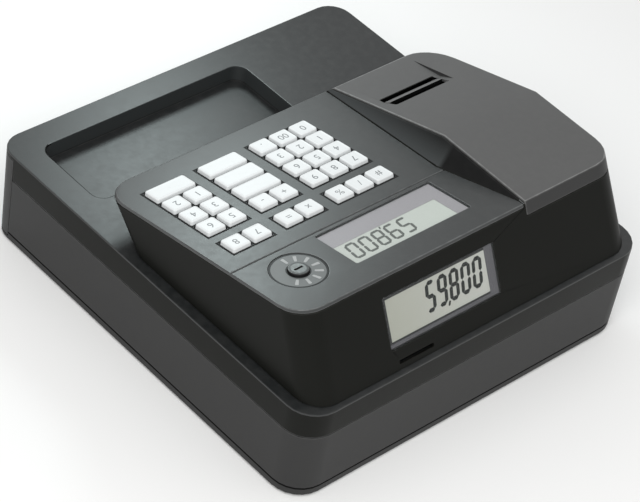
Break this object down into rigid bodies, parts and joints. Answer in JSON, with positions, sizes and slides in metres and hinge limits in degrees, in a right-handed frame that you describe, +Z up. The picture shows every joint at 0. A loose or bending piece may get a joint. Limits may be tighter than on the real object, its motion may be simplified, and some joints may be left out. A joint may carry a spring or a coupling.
{
  "type": "cash register",
  "caption": "Compact electronic cash register with a keyboard, operator and customer displays, a receipt printer under a lift-off cover, a deck tray and a sliding cash drawer.",
  "frame": {"origin": "centre of the footprint, on the plane the feet stand on", "axes": "+Z up, -Y towards the operator, the way the drawer opens, +X to the operator's right"},
  "size_m": [0.33, 0.34, 0.1443],
  "materials": {
    "case_grey": "fine textured dark grey plastic",
    "deck_grey": "fine textured dark grey plastic",
    "body_black": "near black plastic, slight sheen",
    "panel_grey": "fine textured grey plastic",
    "cover_grey": "fine textured grey plastic",
    "key_white": "off white plastic keycaps",
    "window_clear": "clear acrylic",
    "display_grey": "pale grey liquid crystal display glass",
    "rubber_grey": "silicone rubber",
    "board_green": "green circuit board",
    "till_black": "black plastic",
    "steel": "zinc plated steel",
    "roller_black": "black rubber"
  },
  "bodies": {
    "case": {"base_plate": "case_grey", "drawer_housing": "case_grey", "deck": "deck_grey", "body_shell": "body_black", "keyboard_panel": "panel_grey", "operator_window": "window_clear", "operator_display": "display_grey", "customer_window": "window_clear", "customer_display": "display_grey", "key_sheet": "rubber_grey", "main_board": "board_green", "printer_frame": "body_black", "print_head": "steel", "latch_solenoid": "steel", "drawer_spring": "steel"},
    "drawer": {"drawer_front": "case_grey", "drawer_box": "steel", "till_tray": "till_black", "clip_rod": "steel"},
    "printer_cover": {"printer_cover": "cover_grey", "tear_bar": "steel"},
    "platen_arm": {"platen_arm": "steel"},
    "platen_roller": {"platen_roller": "roller_black"},
    "mode_switch": {"mode_switch": "steel"},
    "drawer_lock": {"drawer_lock": "steel"},
    "latch_lever": {"latch_lever": "steel"},
    "note_clip_1": {"note_clip_1": "till_black"},
    "note_clip_2": {"note_clip_2": "till_black"},
    "note_clip_3": {"note_clip_3": "till_black"},
    "key_right_1_1": {"key_right_1_1": "key_white"},
    "key_right_2_1": {"key_right_2_1": "key_white"},
    "key_right_2_2": {"key_right_2_2": "key_white"},
    "key_right_3_1": {"key_right_3_1": "key_white"},
    "key_right_3_2": {"key_right_3_2": "key_white"},
    "key_right_4_1": {"key_right_4_1": "key_white"},
    "key_right_4_2": {"key_right_4_2": "key_white"},
    "key_right_5_1": {"key_right_5_1": "key_white"},
    "key_right_5_2": {"key_right_5_2": "key_white"},
    "key_middle_1_1": {"key_middle_1_1": "key_white"},
    "key_middle_2_1": {"key_middle_2_1": "key_white"},
    "key_middle_3_1": {"key_middle_3_1": "key_white"},
    "key_middle_4_1": {"key_middle_4_1": "key_white"},
    "key_middle_4_2": {"key_middle_4_2": "key_white"},
    "key_middle_5_1": {"key_middle_5_1": "key_white"},
    "key_middle_5_2": {"key_middle_5_2": "key_white"},
    "key_left_1_1": {"key_left_1_1": "key_white"},
    "key_left_1_2": {"key_left_1_2": "key_white"},
    "key_left_1_3": {"key_left_1_3": "key_white"},
    "key_left_2_1": {"key_left_2_1": "key_white"},
    "key_left_2_2": {"key_left_2_2": "key_white"},
    "key_left_2_3": {"key_left_2_3": "key_white"},
    "key_left_3_1": {"key_left_3_1": "key_white"},
    "key_left_3_2": {"key_left_3_2": "key_white"},
    "key_left_3_3": {"key_left_3_3": "key_white"},
    "key_left_4_1": {"key_left_4_1": "key_white"},
    "key_left_4_2": {"key_left_4_2": "key_white"},
    "key_left_4_3": {"key_left_4_3": "key_white"},
    "key_left_5_1": {"key_left_5_1": "key_white"},
    "key_left_5_2": {"key_left_5_2": "key_white"},
    "key_left_5_3": {"key_left_5_3": "key_white"}
  },
  "joints": [
    {"name": "drawer_slide", "type": "slide", "parent": "case", "child": "drawer", "axis": [0, -1, 0], "range_m": [0, 0.21]},
    {"name": "cover_lift", "type": "slide", "parent": "case", "child": "printer_cover", "axis": [0, 0, 1], "range_m": [0, 0.1]},
    {"name": "platen_arm_swing", "type": "hinge", "parent": "case", "child": "platen_arm", "pos_m": [-0.0975, 0.022, 0.098], "axis": [-1, 0, 0], "range_deg": [0, 60]},
    {"name": "platen_roller_turn", "type": "hinge", "parent": "platen_arm", "child": "platen_roller", "pos_m": [-0.0975, -0.002, 0.108], "axis": [1, 0, 0], "continuous": true},
    {"name": "mode_switch_turn", "type": "hinge", "parent": "case", "child": "mode_switch", "pos_m": [0.1169, 0.09311, 0.13486], "axis": [0, -0.1757, 0.9844], "range_deg": [-75, 75]},
    {"name": "drawer_lock_turn", "type": "hinge", "parent": "drawer", "child": "drawer_lock", "pos_m": [0, -0.1597, 0.058], "axis": [0, 1, 0], "range_deg": [0, 90]},
    {"name": "latch_lever_turn", "type": "hinge", "parent": "case", "child": "latch_lever", "pos_m": [0.014, 0.158, 0.0173], "axis": [0, 0, -1], "range_deg": [0, 25]},
    {"name": "note_clip_1_lift", "type": "hinge", "parent": "drawer", "child": "note_clip_1", "pos_m": [-0.09753, 0.112, 0.042], "axis": [-1, 0, 0], "range_deg": [0, 25]},
    {"name": "note_clip_2_lift", "type": "hinge", "parent": "drawer", "child": "note_clip_2", "pos_m": [0, 0.112, 0.042], "axis": [-1, 0, 0], "range_deg": [0, 25]},
    {"name": "note_clip_3_lift", "type": "hinge", "parent": "drawer", "child": "note_clip_3", "pos_m": [0.09753, 0.112, 0.042], "axis": [-1, 0, 0], "range_deg": [0, 25]},
    {"name": "key_right_1_1_press", "type": "slide", "parent": "case", "child": "key_right_1_1", "axis": [0, 0.1757, -0.9844], "range_m": [0, 0.003], "stiffness_N_per_m": 150, "springref_m": -0.002},
    {"name": "key_right_2_1_press", "type": "slide", "parent": "case", "child": "key_right_2_1", "axis": [0, 0.1757, -0.9844], "range_m": [0, 0.003], "stiffness_N_per_m": 150, "springref_m": -0.002},
    {"name": "key_right_2_2_press", "type": "slide", "parent": "case", "child": "key_right_2_2", "axis": [0, 0.1757, -0.9844], "range_m": [0, 0.003], "stiffness_N_per_m": 150, "springref_m": -0.002},
    {"name": "key_right_3_1_press", "type": "slide", "parent": "case", "child": "key_right_3_1", "axis": [0, 0.1757, -0.9844], "range_m": [0, 0.003], "stiffness_N_per_m": 150, "springref_m": -0.002},
    {"name": "key_right_3_2_press", "type": "slide", "parent": "case", "child": "key_right_3_2", "axis": [0, 0.1757, -0.9844], "range_m": [0, 0.003], "stiffness_N_per_m": 150, "springref_m": -0.002},
    {"name": "key_right_4_1_press", "type": "slide", "parent": "case", "child": "key_right_4_1", "axis": [0, 0.1757, -0.9844], "range_m": [0, 0.003], "stiffness_N_per_m": 150, "springref_m": -0.002},
    {"name": "key_right_4_2_press", "type": "slide", "parent": "case", "child": "key_right_4_2", "axis": [0, 0.1757, -0.9844], "range_m": [0, 0.003], "stiffness_N_per_m": 150, "springref_m": -0.002},
    {"name": "key_right_5_1_press", "type": "slide", "parent": "case", "child": "key_right_5_1", "axis": [0, 0.1757, -0.9844], "range_m": [0, 0.003], "stiffness_N_per_m": 150, "springref_m": -0.002},
    {"name": "key_right_5_2_press", "type": "slide", "parent": "case", "child": "key_right_5_2", "axis": [0, 0.1757, -0.9844], "range_m": [0, 0.003], "stiffness_N_per_m": 150, "springref_m": -0.002},
    {"name": "key_middle_1_1_press", "type": "slide", "parent": "case", "child": "key_middle_1_1", "axis": [0, 0.1757, -0.9844], "range_m": [0, 0.003], "stiffness_N_per_m": 150, "springref_m": -0.002},
    {"name": "key_middle_2_1_press", "type": "slide", "parent": "case", "child": "key_middle_2_1", "axis": [0, 0.1757, -0.9844], "range_m": [0, 0.003], "stiffness_N_per_m": 150, "springref_m": -0.002},
    {"name": "key_middle_3_1_press", "type": "slide", "parent": "case", "child": "key_middle_3_1", "axis": [0, 0.1757, -0.9844], "range_m": [0, 0.003], "stiffness_N_per_m": 150, "springref_m": -0.002},
    {"name": "key_middle_4_1_press", "type": "slide", "parent": "case", "child": "key_middle_4_1", "axis": [0, 0.1757, -0.9844], "range_m": [0, 0.003], "stiffness_N_per_m": 150, "springref_m": -0.002},
    {"name": "key_middle_4_2_press", "type": "slide", "parent": "case", "child": "key_middle_4_2", "axis": [0, 0.1757, -0.9844], "range_m": [0, 0.003], "stiffness_N_per_m": 150, "springref_m": -0.002},
    {"name": "key_middle_5_1_press", "type": "slide", "parent": "case", "child": "key_middle_5_1", "axis": [0, 0.1757, -0.9844], "range_m": [0, 0.003], "stiffness_N_per_m": 150, "springref_m": -0.002},
    {"name": "key_middle_5_2_press", "type": "slide", "parent": "case", "child": "key_middle_5_2", "axis": [0, 0.1757, -0.9844], "range_m": [0, 0.003], "stiffness_N_per_m": 150, "springref_m": -0.002},
    {"name": "key_left_1_1_press", "type": "slide", "parent": "case", "child": "key_left_1_1", "axis": [0, 0.1757, -0.9844], "range_m": [0, 0.003], "stiffness_N_per_m": 150, "springref_m": -0.002},
    {"name": "key_left_1_2_press", "type": "slide", "parent": "case", "child": "key_left_1_2", "axis": [0, 0.1757, -0.9844], "range_m": [0, 0.003], "stiffness_N_per_m": 150, "springref_m": -0.002},
    {"name": "key_left_1_3_press", "type": "slide", "parent": "case", "child": "key_left_1_3", "axis": [0, 0.1757, -0.9844], "range_m": [0, 0.003], "stiffness_N_per_m": 150, "springref_m": -0.002},
    {"name": "key_left_2_1_press", "type": "slide", "parent": "case", "child": "key_left_2_1", "axis": [0, 0.1757, -0.9844], "range_m": [0, 0.003], "stiffness_N_per_m": 150, "springref_m": -0.002},
    {"name": "key_left_2_2_press", "type": "slide", "parent": "case", "child": "key_left_2_2", "axis": [0, 0.1757, -0.9844], "range_m": [0, 0.003], "stiffness_N_per_m": 150, "springref_m": -0.002},
    {"name": "key_left_2_3_press", "type": "slide", "parent": "case", "child": "key_left_2_3", "axis": [0, 0.1757, -0.9844], "range_m": [0, 0.003], "stiffness_N_per_m": 150, "springref_m": -0.002},
    {"name": "key_left_3_1_press", "type": "slide", "parent": "case", "child": "key_left_3_1", "axis": [0, 0.1757, -0.9844], "range_m": [0, 0.003], "stiffness_N_per_m": 150, "springref_m": -0.002},
    {"name": "key_left_3_2_press", "type": "slide", "parent": "case", "child": "key_left_3_2", "axis": [0, 0.1757, -0.9844], "range_m": [0, 0.003], "stiffness_N_per_m": 150, "springref_m": -0.002},
    {"name": "key_left_3_3_press", "type": "slide", "parent": "case", "child": "key_left_3_3", "axis": [0, 0.1757, -0.9844], "range_m": [0, 0.003], "stiffness_N_per_m": 150, "springref_m": -0.002},
    {"name": "key_left_4_1_press", "type": "slide", "parent": "case", "child": "key_left_4_1", "axis": [0, 0.1757, -0.9844], "range_m": [0, 0.003], "stiffness_N_per_m": 150, "springref_m": -0.002},
    {"name": "key_left_4_2_press", "type": "slide", "parent": "case", "child": "key_left_4_2", "axis": [0, 0.1757, -0.9844], "range_m": [0, 0.003], "stiffness_N_per_m": 150, "springref_m": -0.002},
    {"name": "key_left_4_3_press", "type": "slide", "parent": "case", "child": "key_left_4_3", "axis": [0, 0.1757, -0.9844], "range_m": [0, 0.003], "stiffness_N_per_m": 150, "springref_m": -0.002},
    {"name": "key_left_5_1_press", "type": "slide", "parent": "case", "child": "key_left_5_1", "axis": [0, 0.1757, -0.9844], "range_m": [0, 0.003], "stiffness_N_per_m": 150, "springref_m": -0.002},
    {"name": "key_left_5_2_press", "type": "slide", "parent": "case", "child": "key_left_5_2", "axis": [0, 0.1757, -0.9844], "range_m": [0, 0.003], "stiffness_N_per_m": 150, "springref_m": -0.002},
    {"name": "key_left_5_3_press", "type": "slide", "parent": "case", "child": "key_left_5_3", "axis": [0, 0.1757, -0.9844], "range_m": [0, 0.003], "stiffness_N_per_m": 150, "springref_m": -0.002}
  ],
  "couplings": [
    {"joint": "platen_arm_swing", "follows": "cover_lift", "rad_per_m": 10.472}
  ]
}
